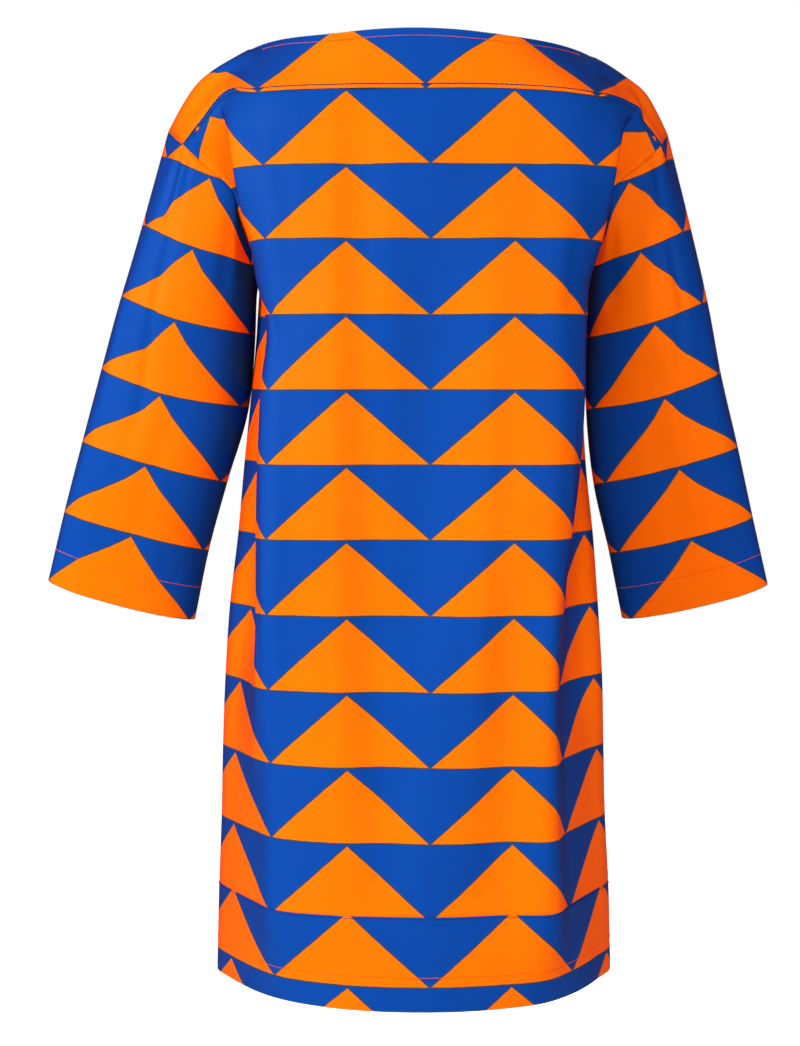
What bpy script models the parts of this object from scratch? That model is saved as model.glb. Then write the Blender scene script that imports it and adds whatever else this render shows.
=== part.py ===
"""Boat-neck tunic dress in printed cotton, filled out as worn.

Metres, +Z up, +Y towards the wearer's front, +X to the right seen from behind.
The origin is midway between the wearer's shoulders, at the height of the neck points.
"""
import math
from collections import namedtuple

import bpy
from mathutils import Vector

MM = 0.001
WALL = 1.2 * MM
SEAM_GAP = 0.3 * MM
SLEEVE_GAP = 0.5 * MM

# Cloth lengths below the yoke seam, in millimetres, at which the pieces end
SHOULDER_DROP = -70
YOKE_SEAM_DROP = 0
UNDERARM_DROP = 190
BAND_SEAM_DROP = 812
HEM_DROP = 907

# Mesh rows of each stretch, as cloth lengths below the yoke seam
YOKE_DROPS = (SHOULDER_DROP, -52, -34, -17, YOKE_SEAM_DROP)
ARMHOLE_DROPS = (YOKE_SEAM_DROP, 20, 40, 57, 75, 95, 115, 150, UNDERARM_DROP)
BODY_DROPS = (225, 262, 300, 337, 375, 412, 450, 487, 525, 562, 600, 637, 675, 710, 745, 780,
              BAND_SEAM_DROP)
BAND_DROPS = (BAND_SEAM_DROP, 860, HEM_DROP)
# Mesh columns between neighbouring control columns, from the centre line to the side seam
SPAN_STEPS = (3, 3, 3, 2, 2, 2, 1)
NECK_POINT_COLUMN = 2
SLEEVE_STEPS = 2
# How far up and down the cloth a wall's slope is read, in millimetres
SLOPE_REACH = 1
# Walls that meet at an armhole share one direction while their own differ by less than this cosine
MITRE_LIMIT = 0.1

BLUE = (0.016, 0.063, 0.381, 1.0)
ROUGHNESS = 0.5

# One half of the back. Each point is (x, y, z) in millimetres. The ridge is the long soft fold
# that falls from the yoke's corner, the hollow lies behind it, and the seam column is the
# armhole down to the underarm and the side seam below it.
Row = namedtuple("Row", "drop flank bend ridge hollow emerge side seam")
LEFT_BACK_TOP = (
    Row(-70, (-84, -64, 10), (-172, -12, 1), (-190, -9, -7), (-206, -8, -15),
        (-224, -7, -28), (-240, -6, -50), (-255, -5, -77)),
    Row(-34, (-84, -82, -18), (-167, -48, -22), (-194, -27, -25), (-208, -26, -37),
        (-220, -26, -50), (-233, -26, -65), (-246, -27, -87)),
    Row(0, (-84, -97, -47), (-157, -80, -48), (-197, -43, -49), (-206, -42, -60),
        (-214, -42, -71), (-224, -43, -84), (-234, -45, -97)),
    Row(40, (-84, -106, -87), (-155, -91, -88), (-190, -62, -88), (-176, -49, -94),
        (-190, -46, -99), (-203, -47, -106), (-215, -49, -115)),
    Row(75, (-84, -113, -122), (-153, -100, -122), (-183, -80, -124), (-157, -61, -128),
        (-163, -47, -131), (-175, -48, -136), (-187, -52, -140)),
    Row(115, (-84, -118, -161), (-152, -104, -161), (-176, -76, -162), (-152, -58, -163),
        (-158, -44, -165), (-170, -44, -167), (-180, -40, -168)),
    Row(150, (-84, -121, -195), (-151, -104, -195), (-167, -74, -196), (-144, -52, -196),
        (-154, -38, -196), (-163, -29, -197), (-171, -22, -197)),
    Row(190, (-84, -124, -235), (-147, -105, -235), (-160, -76, -235), (-138, -52, -233),
        (-149, -31, -230), (-158, -13, -226), (-163, 2, -222)),
)
RIGHT_BACK_TOP = (
    Row(-70, (88, -65, 10), (181, -12, -4), (197, -9, -12), (212, -8, -22),
        (232, -7, -37), (245, -6, -57), (257, -5, -81)),
    Row(-34, (88, -83, -18), (174, -50, -26), (204, -32, -33), (219, -26, -41),
        (229, -26, -55), (239, -26, -69), (250, -27, -89)),
    Row(0, (88, -97, -47), (165, -84, -51), (212, -50, -57), (223, -42, -63),
        (226, -42, -74), (234, -43, -84), (244, -45, -97)),
    Row(40, (88, -106, -87), (165, -94, -89), (203, -68, -92), (190, -52, -97),
        (203, -48, -102), (214, -48, -108), (225, -49, -114)),
    Row(75, (88, -113, -122), (166, -99, -122), (197, -80, -123), (171, -61, -127),
        (176, -47, -130), (187, -48, -134), (198, -52, -137)),
    Row(115, (88, -118, -161), (165, -102, -161), (190, -74, -162), (165, -57, -164),
        (172, -43, -167), (183, -44, -169), (191, -40, -170)),
    Row(150, (88, -121, -195), (162, -102, -195), (183, -70, -196), (158, -50, -196),
        (167, -38, -197), (175, -29, -198), (183, -21, -198)),
    Row(190, (86, -124, -235), (154, -106, -235), (171, -74, -234), (150, -50, -231),
        (161, -30, -228), (170, -13, -224), (176, 2, -221)),
)
# Below the underarm every row is level: each point is (x, y) at the row's height
LEFT_BACK_LEVELS = (
    Row(225, (-84, -126), (-142, -108), (-151, -84), (-134, -58), (-148, -32), (-162, -4), (-166, 10)),
    Row(300, (-84, -126), (-146, -110), (-157, -90), (-141, -64), (-158, -37), (-172, 2), (-174, 14)),
    Row(375, (-84, -126), (-148, -113), (-161, -94), (-146, -68), (-161, -40), (-181, 3), (-183, 15)),
    Row(450, (-84, -126), (-149, -116), (-162, -96), (-150, -70), (-164, -40), (-189, 4), (-190, 15)),
    Row(525, (-84, -126), (-148, -114), (-162, -97), (-158, -70), (-171, -38), (-196, 3), (-197, 14)),
    Row(600, (-84, -126), (-147, -109), (-163, -90), (-170, -66), (-181, -37), (-201, 1), (-202, 12)),
    Row(675, (-85, -127), (-147, -103), (-163, -82), (-174, -60), (-186, -36), (-204, 0), (-205, 11)),
    Row(745, (-86, -127), (-147, -101), (-165, -74), (-178, -53), (-190, -32), (-206, 1), (-207, 12)),
    Row(812, (-86, -128), (-148, -104), (-167, -75), (-181, -52), (-194, -30), (-209, 2), (-210, 12)),
    Row(907, (-88, -124), (-139, -97), (-164, -73), (-181, -50), (-197, -25), (-212, 4), (-213, 14)),
)
RIGHT_BACK_LEVELS = (
    Row(225, (86, -126), (152, -110), (168, -84), (152, -58), (160, -34), (171, -4), (173, 8)),
    Row(300, (86, -126), (150, -114), (166, -92), (153, -64), (161, -36), (172, 2), (173, 12)),
    Row(375, (86, -126), (147, -117), (162, -94), (151, -64), (160, -34), (175, 4), (177, 13)),
    Row(450, (85, -127), (141, -119), (154, -96), (149, -64), (161, -32), (183, 5), (185, 13)),
    Row(525, (84, -128), (139, -120), (147, -88), (150, -60), (165, -30), (190, 6), (191, 14)),
    Row(600, (84, -129), (137, -119), (143, -84), (153, -56), (169, -29), (195, 6), (196, 14)),
    Row(675, (84, -130), (137, -120), (147, -84), (161, -57), (176, -30), (197, 6), (198, 14)),
    Row(745, (84, -131), (136, -122), (150, -86), (165, -58), (180, -31), (199, 5), (200, 13)),
    Row(812, (84, -131), (138, -123), (155, -88), (170, -60), (185, -33), (203, 4), (204, 12)),
    Row(907, (84, -128), (128, -110), (157, -82), (176, -55), (190, -29), (206, 4), (207, 12)),
)
# One half of the front, for a left side; the right side is its mirror, eased to its own seams
FRONT_TOP = (
    Row(-70, (-84, 56, -40), None, None, None, None, None, None),
    Row(-34, (-86, 66, -58), (-168, 28, -24), (-190, 18, -27), (-206, 16, -37),
        (-220, 16, -50), (-233, 16, -66), (-246, 18, -87)),
    Row(0, (-86, 76, -78), (-160, 56, -52), (-186, 44, -54), (-200, 38, -62),
        (-212, 36, -73), (-222, 36, -84), (-234, 36, -97)),
    Row(40, (-85, 88, -104), (-154, 70, -90), (-180, 56, -92), (-184, 46, -97),
        (-194, 44, -103), (-205, 44, -109), (-216, 44, -114)),
    Row(75, (-85, 98, -133), (-150, 80, -124), (-172, 64, -125), (-164, 52, -128),
        (-172, 50, -132), (-180, 49, -136), (-188, 48, -140)),
    Row(115, (-85, 108, -165), (-148, 90, -162), (-165, 70, -162), (-154, 54, -163),
        (-163, 48, -165), (-171, 45, -167), (-180, 42, -168)),
    Row(150, (-85, 115, -196), (-146, 96, -196), (-160, 74, -196), (-150, 56, -196),
        (-157, 44, -196), (-164, 34, -197), (-171, 25, -197)),
    Row(190, (-84, 121, -235), (-144, 102, -235), (-156, 78, -234), (-146, 58, -233),
        (-152, 40, -230), (-158, 22, -226), None),
)
FRONT_LEVELS = (
    Row(225, (-84, 126), (-143, 106), (-156, 82), (-148, 60), (-156, 42), (-163, 24), None),
    Row(300, (-84, 131), (-144, 110), (-159, 86), (-154, 63), (-162, 43), (-171, 28), None),
    Row(375, (-84, 135), (-146, 113), (-162, 89), (-160, 66), (-169, 46), (-179, 30), None),
    Row(450, (-84, 138), (-147, 116), (-165, 92), (-166, 69), (-175, 48), (-186, 31), None),
    Row(525, (-85, 140), (-148, 118), (-167, 95), (-172, 72), (-181, 50), (-192, 31), None),
    Row(600, (-85, 141), (-149, 120), (-169, 98), (-178, 75), (-187, 52), (-197, 31), None),
    Row(675, (-86, 142), (-151, 121), (-171, 99), (-182, 76), (-191, 53), (-200, 31), None),
    Row(745, (-86, 143), (-152, 122), (-173, 100), (-185, 77), (-194, 54), (-203, 31), None),
    Row(812, (-87, 144), (-153, 123), (-175, 101), (-188, 78), (-198, 54), (-207, 31), None),
    Row(907, (-88, 144), (-155, 123), (-178, 101), (-192, 78), (-201, 54), (-210, 31), None),
)
# The centre lines of back and front: the back's depth and height, the front's depth and height
Centre = namedtuple("Centre", "drop back_y back_z front_y front_z")
CENTRE_LINE = (
    Centre(-70, -73, 16, 72, -60),
    Centre(-34, -88, -15, 78, -74),
    Centre(0, -100, -47, 84, -90),
    Centre(40, -110, -87, 94, -112),
    Centre(75, -118, -122, 104, -138),
    Centre(115, -122, -161, 114, -168),
    Centre(150, -125, -195, 121, -197),
    Centre(190, -128, -235, 127, -235),
    Centre(225, -130, -270, 131, -270),
    Centre(300, -130, -344, 136, -344),
    Centre(375, -130, -419, 140, -419),
    Centre(450, -130, -493, 143, -493),
    Centre(525, -131, -568, 145, -568),
    Centre(600, -132, -643, 146, -643),
    Centre(675, -133, -717, 147, -717),
    Centre(745, -134, -790, 148, -790),
    Centre(812, -136, -861, 149, -861),
    Centre(907, -139, -956, 150, -956),
)
# Rings of a sleeve below its cap: the fold-side points and how far back and front swell from them
Ring = namedtuple("Ring", "drop outer inner back_depth front_depth")
LEFT_SLEEVE = (
    Ring(112, (-293, 5, -209), (-173, 12, -250), 52, 48),
    Ring(150, (-304, 8, -246), (-177, 20, -287), 53, 50),
    Ring(223, (-327, 17, -321), (-178, 24, -363), 45, 45),
    Ring(297, (-349, 28, -394), (-203, 32, -438), 41, 42),
    Ring(370, (-373, 44, -470), (-222, 50, -512), 35, 36),
    Ring(443, (-395, 64, -545), (-239, 64, -586), 28, 29),
)
RIGHT_SLEEVE = (
    Ring(112, (292, 5, -213), (182, 12, -250), 52, 48),
    Ring(150, (302, 10, -252), (179, 20, -290), 53, 50),
    Ring(223, (318, 17, -326), (179, 24, -365), 45, 45),
    Ring(297, (338, 28, -400), (187, 32, -440), 41, 42),
    Ring(370, (358, 44, -476), (206, 50, -515), 35, 36),
    Ring(443, (379, 64, -550), (222, 64, -587), 28, 29),
)


def clear_scene():
    for item in list(bpy.data.objects):
        bpy.data.objects.remove(item, do_unlink=True)


def knots_of(points):
    """Lengths along a chain of points."""
    knots = [0.0]
    for here, there in zip(points, points[1:]):
        knots.append(knots[-1] + max((there - here).length, 1e-6))
    return knots


def smooth_point(points, knots, where):
    """A point on the smooth curve that runs through the points, at the length `where`."""
    last = len(points) - 1
    span = max(0, min(last - 1, sum(1 for knot in knots if knot <= where) - 1))

    def slope(index):
        before = max(index - 1, 0)
        after = min(index + 1, last)
        if before == index or after == index:
            return (points[after] - points[before]) / (knots[after] - knots[before])
        short = knots[index] - knots[before]
        far = knots[after] - knots[index]
        rise_before = (points[index] - points[before]) / short
        rise_after = (points[after] - points[index]) / far
        return (rise_before * far + rise_after * short) / (short + far)

    width = knots[span + 1] - knots[span]
    u = (where - knots[span]) / width
    start = points[span] * (2 * u**3 - 3 * u**2 + 1) + points[span + 1] * (3 * u**2 - 2 * u**3)
    lean = slope(span) * (u**3 - 2 * u**2 + u) + slope(span + 1) * (u**3 - u**2)
    return start + lean * width


def fine_row(points):
    """The mesh columns of one control row, from one seam to the other through the centre."""
    knots = knots_of(points)
    half = list(SPAN_STEPS)
    fine = []
    for index, steps in enumerate(half[::-1] + half):
        for step in range(steps):
            where = knots[index] + (knots[index + 1] - knots[index]) * step / steps
            fine.append(smooth_point(points, knots, where))
    fine.append(points[-1])
    return fine


def row_points(row, height):
    """A half row's points from flank to seam, with the height that a level row leaves out."""
    return [None if p is None else Vector(p if len(p) == 3 else (*p, height)) for p in row[1:]]


def back_rows():
    left = LEFT_BACK_TOP + LEFT_BACK_LEVELS
    right = RIGHT_BACK_TOP + RIGHT_BACK_LEVELS
    rows = []
    for centre, left_row, right_row in zip(CENTRE_LINE, left, right):
        middle = Vector((0, centre.back_y, centre.back_z))
        left_points = row_points(left_row, centre.back_z)
        right_points = row_points(right_row, centre.back_z)
        rows.append(left_points[::-1] + [middle] + right_points)
    return rows


def front_rows(back):
    """The front's control rows. They share the shoulder seam and the side seams with the back."""
    rows = []
    for index, (centre, table_row) in enumerate(zip(CENTRE_LINE, FRONT_TOP + FRONT_LEVELS)):
        drawn = row_points(table_row, centre.front_z)
        count = len(drawn)
        halves = []
        for sign, back_half in ((-1, back[index][:count][::-1]), (1, back[index][count + 1:])):
            left_half = back[index][:count][::-1]
            ease = abs(back_half[-1].x) - abs(left_half[-1].x)
            half = []
            for column, point in enumerate(drawn):
                if point is None:
                    half.append(back_half[column].copy())
                    continue
                reach = abs(point.x) + ease * (column + 1) / count
                half.append(Vector((sign * reach, point.y, point.z)))
            halves.append(half)
        middle = Vector((0, centre.front_y, centre.front_z))
        rows.append(halves[0][::-1] + [middle] + halves[1])
    return rows


def body_columns():
    """Each mesh column of the body as its control points and their cloth lengths.

    Columns beyond the neck points run over the shoulder, so back and front share their slope there.
    """
    drops = [centre.drop for centre in CENTRE_LINE]
    back = back_rows()
    front = front_rows(back)
    fine_back = [fine_row(row) for row in back]
    fine_front = [fine_row(row) for row in front]
    total = len(fine_back[0])
    neck_reach = sum(SPAN_STEPS[:NECK_POINT_COLUMN])
    over_shoulder = [2 * SHOULDER_DROP - drop for drop in drops[:0:-1]]
    columns = []
    for index in range(total):
        back_points = [row[index] for row in fine_back]
        front_points = [row[index] for row in fine_front]
        if abs(index - total // 2) < neck_reach:
            columns.append({"back": (back_points, drops), "front": (front_points, drops)})
            continue
        chain = (front_points[:0:-1] + back_points, over_shoulder + drops)
        other_way = (back_points[::-1] + front_points[1:], over_shoulder + drops)
        columns.append({"back": chain, "front": other_way})
    return columns


def panel_points(columns, side, drops):
    """Rows of points of one body panel, in millimetres."""
    return [[smooth_point(*column[side], drop) for column in columns] for drop in drops]


def panel_normals(columns, side, drops):
    """Outward directions of a body panel. They run on across its seams, so both walls agree there."""
    other = "front" if side == "back" else "back"
    facing = 1 if side == "back" else -1
    last = len(columns) - 1
    normals = []
    for drop in drops:
        joined = drop >= UNDERARM_DROP
        row = []
        for index, column in enumerate(columns):
            down = (smooth_point(*column[side], drop + SLOPE_REACH)
                    - smooth_point(*column[side], drop - SLOPE_REACH))
            before = columns[max(index - 1, 0)][side]
            after = columns[min(index + 1, last)][side]
            if index == 0 and joined:
                before = columns[1][other]
            if index == last and joined:
                after = columns[last - 1][other]
            across = smooth_point(*after, drop) - smooth_point(*before, drop)
            row.append(down.cross(across).normalized() * facing)
        normals.append(row)
    return normals


def tube_normals(grid, facing):
    """Outward directions of a tube whose rows are closed rings."""
    last = len(grid) - 1
    normals = []
    for index, ring in enumerate(grid):
        above = grid[max(index - 1, 0)]
        below = grid[min(index + 1, last)]
        count = len(ring)
        row = []
        for step in range(count):
            along = ring[(step + 1) % count] - ring[step - 1]
            row.append((below[step] - above[step]).cross(along).normalized() * facing)
        normals.append(row)
    return normals


def draw_back(piece, edges, columns=None):
    """Draw a piece's seam edges back by half a seam gap, its inner side with them."""
    points, inner = piece
    last_row = len(points) - 1
    last_column = len(points[0]) - 1
    first_side_row = edges.get("sides", last_row + 1)
    places = []
    if "top" in edges:
        places += [(0, column, 1, column) for column in edges["top"]]
    if "bottom" in edges:
        places += [(last_row, column, last_row - 1, column) for column in edges["bottom"]]
    for row in range(first_side_row, last_row + 1):
        places += [(row, 0, row, 1), (row, last_column, row, last_column - 1)]
    for row, column, inside_row, inside_column in places:
        pull = (points[inside_row][inside_column] - points[row][column]).normalized()
        pull *= SEAM_GAP / MM / 2
        points[row][column] = points[row][column] + pull
        inner[row][column] = inner[row][column] + pull


def sleeve_points(armhole, rings):
    """Rings of points from the armhole, which starts at the shoulder tip, down to the cuff."""
    count = len(armhole)
    controls = [armhole]
    for ring in rings:
        outer = Vector(ring.outer)
        inner = Vector(ring.inner)
        middle = (outer + inner) / 2
        points = []
        for step in range(count):
            angle = 2 * math.pi * step / count
            depth = ring.back_depth if angle < math.pi else ring.front_depth
            swell = Vector((0, -depth * math.sin(angle), 0))
            points.append(middle + (outer - middle) * math.cos(angle) + swell)
        controls.append(points)
    axis = (Vector(rings[0].outer) + Vector(rings[0].inner)) / 2 - sum(armhole, Vector()) / count
    controls[0] = [point + axis.normalized() * SLEEVE_GAP / MM for point in armhole]
    columns = []
    for step in range(count):
        chain = [ring[step] for ring in controls]
        knots = knots_of(chain)
        fine = []
        for span in range(len(chain) - 1):
            for part in range(SLEEVE_STEPS):
                where = knots[span] + (knots[span + 1] - knots[span]) * part / SLEEVE_STEPS
                fine.append(smooth_point(chain, knots, where))
        fine.append(chain[-1])
        columns.append(fine)
    return [[column[row] for column in columns] for row in range(len(columns[0]))]


def inner_side(points, normals):
    """The inner side of a wall: its outer points, moved in by the wall's thickness."""
    thickness = WALL / MM
    return [
        [point - normal * thickness for point, normal in zip(row, normal_row)]
        for row, normal_row in zip(points, normals)
    ]


def mitre(body_normal, sleeve_normal):
    """The direction that both walls share at an armhole seam, or None where they lie back to back."""
    if body_normal.dot(sleeve_normal) < MITRE_LIMIT:
        return None
    return (body_normal + sleeve_normal).normalized()


def cloth_material(name):
    material = bpy.data.materials.new(name)
    material.use_nodes = True
    shader = material.node_tree.nodes["Principled BSDF"]
    shader.inputs["Base Color"].default_value = BLUE
    shader.inputs["Roughness"].default_value = ROUGHNESS
    shader.inputs["Metallic"].default_value = 0.0
    return material


def cloth_piece(name, piece, collection, closed=False, flipped=False):
    """A closed wall between an outer and an inner grid of points, with mitred edges."""
    outer, inner = piece
    across = len(outer[0])
    down = len(outer)
    size = across * down
    vertices = [point * MM for grid in (outer, inner) for row in grid for point in row]
    faces = []
    for row in range(down - 1):
        for column in range(across if closed else across - 1):
            beside = (column + 1) % across
            near = row * across
            far = near + across
            face = (near + column, far + column, far + beside, near + beside)
            faces.append(face)
            faces.append(tuple(corner + size for corner in face[::-1]))
    top = list(range(across))
    bottom = [(down - 1) * across + column for column in top]
    if closed:
        edges = list(zip(top[1:] + top[:1], top)) + list(zip(bottom, bottom[1:] + bottom[:1]))
    else:
        left = [row * across for row in range(down)]
        right = [row * across + across - 1 for row in range(down)]
        around = left + bottom[1:] + right[-2::-1] + top[-2:0:-1]
        edges = list(zip(around, around[1:] + around[:1]))
    faces += [(there, here, here + size, there + size) for here, there in edges]
    mesh = bpy.data.meshes.new(name)
    mesh.from_pydata(vertices, [], [face[::-1] for face in faces] if flipped else faces)
    mesh.shade_smooth()
    mesh.materials.append(cloth_material(name))
    collection.objects.link(bpy.data.objects.new(name, mesh))


def build_dress():
    clear_scene()
    collection = bpy.data.collections.new("boat_neck_tunic_dress")
    bpy.context.scene.collection.children.link(collection)

    columns = body_columns()
    total = len(columns)
    whole = range(total)
    neck_reach = sum(SPAN_STEPS[:NECK_POINT_COLUMN])
    shoulders = [index for index in whole if abs(index - total // 2) >= neck_reach]
    stretches = {
        "back_yoke": ("back", YOKE_DROPS),
        "back_panel": ("back", ARMHOLE_DROPS + BODY_DROPS),
        "back_hem_band": ("back", BAND_DROPS),
        "front_panel": ("front", YOKE_DROPS + ARMHOLE_DROPS[1:] + BODY_DROPS),
        "front_hem_band": ("front", BAND_DROPS),
    }
    points = {name: panel_points(columns, *stretch) for name, stretch in stretches.items()}
    normals = {name: panel_normals(columns, *stretch) for name, stretch in stretches.items()}

    # Each armhole runs from the shoulder tip down the back to the underarm and up the front
    yoke_rows = len(YOKE_DROPS)
    under_back = len(ARMHOLE_DROPS) - 1
    under_front = yoke_rows + under_back - 1
    loop = [("back_yoke", row) for row in range(yoke_rows)]
    loop += [("back_panel", row) for row in range(1, under_back + 1)]
    loop += [("front_panel", row) for row in range(under_front - 1, 0, -1)]
    twins = {("back_yoke", 0): ("front_panel", 0), ("back_yoke", yoke_rows - 1): ("back_panel", 0),
             ("back_panel", under_back): ("front_panel", under_front)}
    sleeves = {}
    for name, edge, rings, facing in (("left_sleeve", 0, LEFT_SLEEVE, 1),
                                      ("right_sleeve", -1, RIGHT_SLEEVE, -1)):
        armhole = [points[piece][row][edge] for piece, row in loop]
        sleeve = sleeve_points(armhole, rings)
        outward = tube_normals(sleeve, facing)
        for step, place in enumerate(loop):
            shared = mitre(normals[place[0]][place[1]][edge], outward[0][step])
            if shared is None:
                continue
            outward[0][step] = shared
            for piece, row in (place, twins.get(place, place)):
                normals[piece][row][edge] = shared
        sleeves[name] = (sleeve, inner_side(sleeve, outward))

    body = {name: (points[name], inner_side(points[name], normals[name])) for name in points}
    draw_back(body["back_yoke"], {"top": shoulders, "bottom": whole})
    draw_back(body["back_panel"], {"top": whole, "bottom": whole, "sides": under_back})
    draw_back(body["front_panel"], {"top": shoulders, "bottom": whole, "sides": under_front})
    for band in ("back_hem_band", "front_hem_band"):
        draw_back(body[band], {"top": whole, "sides": 0})

    for name, piece in body.items():
        cloth_piece(name, piece, collection, flipped=name.startswith("front"))
    cloth_piece("left_sleeve", sleeves["left_sleeve"], collection, closed=True)
    cloth_piece("right_sleeve", sleeves["right_sleeve"], collection, closed=True, flipped=True)


build_dress()
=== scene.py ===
import math
from collections import namedtuple

import bpy
import numpy as np
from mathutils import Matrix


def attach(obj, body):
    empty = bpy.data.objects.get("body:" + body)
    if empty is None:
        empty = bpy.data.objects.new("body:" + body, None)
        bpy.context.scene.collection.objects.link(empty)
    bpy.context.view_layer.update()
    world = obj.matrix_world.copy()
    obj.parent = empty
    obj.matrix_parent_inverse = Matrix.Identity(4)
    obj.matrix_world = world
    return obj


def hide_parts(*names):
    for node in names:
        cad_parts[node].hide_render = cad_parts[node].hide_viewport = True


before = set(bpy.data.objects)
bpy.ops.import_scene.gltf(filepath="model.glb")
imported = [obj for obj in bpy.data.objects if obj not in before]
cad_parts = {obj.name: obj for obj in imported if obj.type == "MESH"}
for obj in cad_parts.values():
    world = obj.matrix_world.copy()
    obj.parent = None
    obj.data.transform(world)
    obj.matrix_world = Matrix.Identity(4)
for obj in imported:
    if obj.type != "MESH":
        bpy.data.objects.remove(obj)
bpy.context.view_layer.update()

# A boat-neck tunic dress in printed cotton, filled out as worn. Every size below is in
# millimetres and is turned into metres by mm where a mesh is made.
# Back is -Y, front is +Y, left and right are as seen from behind.
mm = 0.001

cloth = {
    "thickness": 0.7,     # one layer of cloth
    "hemSpace": 1.5,      # how far inside a turned hem lies
    "cuffTurn": 34,       # the stitched turn of both cuffs
    "cuffSag": 4.5,       # cuffs hang lowest between their folds
    "seamFlap": 5,        # seam allowance that turns inside
    "seamDip": 0.6,       # how far cloth sinks at a sewn seam
    "dipWidth": 1.6,
}
# Inside a turned edge the cloth steps in by these shares of the hem's space or the allowance
hemSteps = np.array([0.45, 1.0, 1.0, 1.0, 1.0])
flapSteps = np.array([0.2, 0.45, 0.8, 0.9, 1.0])
sideSteps = np.array([1.0, 0.8, 0.45, 0.2])
drops = {                 # cloth lengths below the yoke seam
    "neck": -70,
    "underarm": 190,
    "bandSeam": 812,
    "hem": 907,
    "sleeveTop": 112,     # below the armhole the sleeve's own rings begin
    "cuff": 443,
}
sampling = {
    "across": (14, 12, 10, 8, 6, 6, 3),   # columns from the centre line to the side seam
    "armhole": 5,                         # rows in each stretch of the armhole
    "body": 6.0,                          # rows further down, mm apart
    "sleeve": 6.0,
}

# The form of the body. One half of the back: each point is (x, y, z). The ridge is the long
# soft fold that falls from the yoke's corner, the hollow lies behind it, and the seam column
# is the armhole down to the underarm and the side seam below it.
halfRow = namedtuple("halfRow", "drop flank bend ridge hollow emerge side seam")
leftBackTop = (
    halfRow(-70, (-84, -64, 12), (-172, -12, 4), (-190, -9, -5), (-206, -8, -14),
            (-224, -7, -28), (-240, -6, -50), (-255, -5, -77)),
    halfRow(-34, (-84, -82, -18), (-167, -48, -22), (-194, -27, -25), (-208, -26, -37),
            (-220, -26, -50), (-233, -26, -65), (-246, -27, -87)),
    halfRow(0, (-84, -97, -47), (-157, -80, -48), (-197, -43, -49), (-206, -42, -60),
            (-214, -42, -71), (-224, -43, -84), (-234, -45, -97)),
    halfRow(40, (-84, -106, -87), (-155, -91, -88), (-190, -62, -88), (-176, -49, -94),
            (-190, -46, -99), (-203, -47, -106), (-215, -49, -115)),
    halfRow(75, (-84, -113, -122), (-153, -100, -122), (-183, -80, -124), (-157, -61, -128),
            (-163, -47, -131), (-175, -48, -136), (-187, -52, -140)),
    halfRow(115, (-84, -118, -161), (-152, -104, -161), (-176, -76, -162), (-152, -58, -163),
            (-158, -44, -165), (-170, -44, -167), (-180, -40, -168)),
    halfRow(150, (-84, -121, -195), (-151, -104, -195), (-167, -74, -196), (-144, -52, -196),
            (-154, -38, -196), (-163, -29, -197), (-171, -22, -197)),
    halfRow(190, (-84, -124, -235), (-147, -105, -235), (-160, -76, -235), (-138, -52, -233),
            (-149, -31, -230), (-158, -13, -226), (-163, 2, -222)),
)
rightBackTop = (
    halfRow(-70, (88, -65, 10), (181, -12, -4), (197, -9, -12), (212, -8, -22),
            (232, -7, -37), (245, -6, -57), (257, -5, -81)),
    halfRow(-34, (88, -83, -18), (174, -50, -26), (204, -32, -33), (219, -26, -41),
            (229, -26, -55), (239, -26, -69), (250, -27, -89)),
    halfRow(0, (88, -97, -47), (165, -84, -51), (212, -50, -57), (223, -42, -63),
            (226, -42, -74), (234, -43, -84), (244, -45, -97)),
    halfRow(40, (88, -106, -87), (165, -94, -89), (203, -68, -92), (190, -52, -97),
            (203, -48, -102), (214, -48, -108), (225, -49, -114)),
    halfRow(75, (88, -113, -122), (166, -99, -122), (197, -80, -123), (171, -61, -127),
            (176, -47, -130), (187, -48, -134), (198, -52, -137)),
    halfRow(115, (88, -118, -161), (165, -102, -161), (190, -74, -162), (165, -57, -164),
            (172, -43, -167), (183, -44, -169), (191, -40, -170)),
    halfRow(150, (88, -121, -195), (162, -102, -195), (183, -70, -196), (158, -50, -196),
            (167, -38, -197), (175, -29, -198), (183, -21, -198)),
    halfRow(190, (86, -124, -235), (154, -106, -235), (171, -74, -234), (150, -50, -231),
            (161, -30, -228), (170, -13, -224), (176, 2, -221)),
)
# Below the underarm every row is level: each point is (x, y) at the row's height
leftBackLevels = (
    halfRow(225, (-84, -126), (-142, -108), (-151, -84), (-134, -58), (-148, -32), (-162, -4), (-166, 10)),
    halfRow(300, (-84, -126), (-146, -110), (-157, -90), (-141, -64), (-158, -37), (-171, 2), (-173, 14)),
    halfRow(375, (-84, -126), (-148, -113), (-161, -94), (-146, -68), (-161, -40), (-179, 3), (-181, 15)),
    halfRow(450, (-84, -126), (-149, -116), (-162, -96), (-150, -70), (-164, -40), (-187, 4), (-188, 15)),
    halfRow(525, (-84, -126), (-148, -114), (-162, -97), (-158, -70), (-171, -38), (-196, 3), (-197, 14)),
    halfRow(600, (-84, -126), (-147, -109), (-163, -90), (-170, -66), (-181, -37), (-201, 1), (-202, 12)),
    halfRow(675, (-85, -127), (-147, -103), (-163, -82), (-174, -60), (-186, -36), (-204, 0), (-205, 11)),
    halfRow(745, (-86, -127), (-147, -101), (-165, -74), (-178, -53), (-190, -32), (-206, 1), (-207, 12)),
    halfRow(812, (-86, -128), (-148, -104), (-167, -75), (-181, -52), (-194, -30), (-209, 2), (-210, 12)),
    halfRow(907, (-88, -124), (-139, -97), (-164, -73), (-181, -50), (-197, -25), (-212, 4), (-213, 14)),
)
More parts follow.
